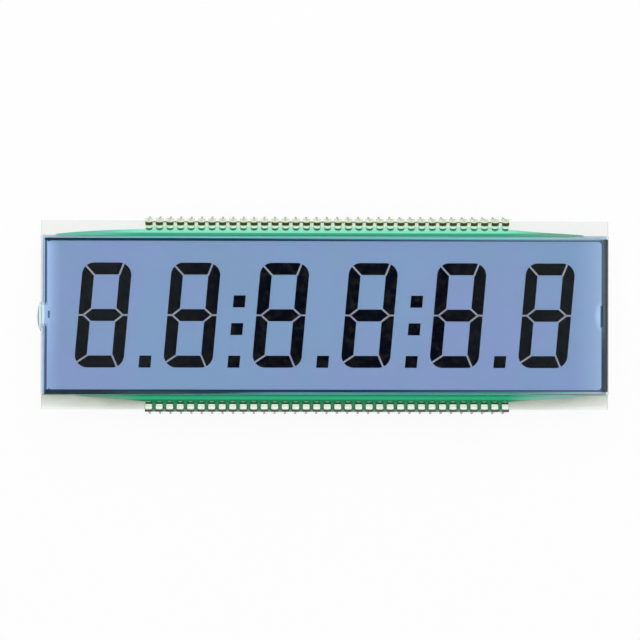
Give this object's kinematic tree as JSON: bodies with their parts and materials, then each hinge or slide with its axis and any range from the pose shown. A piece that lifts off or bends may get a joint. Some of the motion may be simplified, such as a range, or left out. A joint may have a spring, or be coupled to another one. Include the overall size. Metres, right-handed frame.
{
  "type": "segment lcd display",
  "caption": "Glass segment display panel with slanted digits, points and colons behind a polarising film, and a clip-on pin row along each long edge.",
  "frame": {"origin": "level with the pin tips, under the centre of the row of digits", "axes": "+X along the row of digits in reading order, +Y up the digits, +Z out of the front face, away from the board"},
  "size_m": [0.1383, 0.0484, 0.0088],
  "materials": {
    "front_polarising_film": "clear smooth plastic film",
    "front_glass_plate": "polished float glass",
    "rear_glass_plate": "polished float glass",
    "clear_electrode": "thin clear conductive coating",
    "liquid_crystal_layer": "clear fluid seen blue grey between the films",
    "seal_resin": "cured resin line",
    "plug_resin": "cured clear resin bead",
    "silver_resin": "silver filled resin",
    "dark_segments": "switched on segments, seen black",
    "rear_polarising_film": "grey plastic film",
    "reflector_film": "satin metallised film",
    "tinned_pins": "bright tin plated bronze strip",
    "green_resin": "cured green resin, glossy"
  },
  "bodies": {
    "root": {"front_polariser": "front_polarising_film", "front_glass": "front_glass_plate", "common_electrode": "clear_electrode", "liquid_crystal": "liquid_crystal_layer", "perimeter_seal": "seal_resin", "fill_port_post": "seal_resin", "fill_port_plug": "plug_resin", "crossover_dots": "silver_resin", "digit_1_segments": "dark_segments", "digit_2_segments": "dark_segments", "digit_3_segments": "dark_segments", "digit_4_segments": "dark_segments", "digit_5_segments": "dark_segments", "digit_6_segments": "dark_segments", "decimal_points": "dark_segments", "colons": "dark_segments", "top_contact_pads": "clear_electrode", "bottom_contact_pads": "clear_electrode", "rear_glass": "rear_glass_plate", "rear_polariser": "rear_polarising_film", "reflector": "reflector_film", "top_pins": "tinned_pins", "bottom_pins": "tinned_pins", "top_pin_resin": "green_resin", "bottom_pin_resin": "green_resin"}
  },
  "joints": []
}
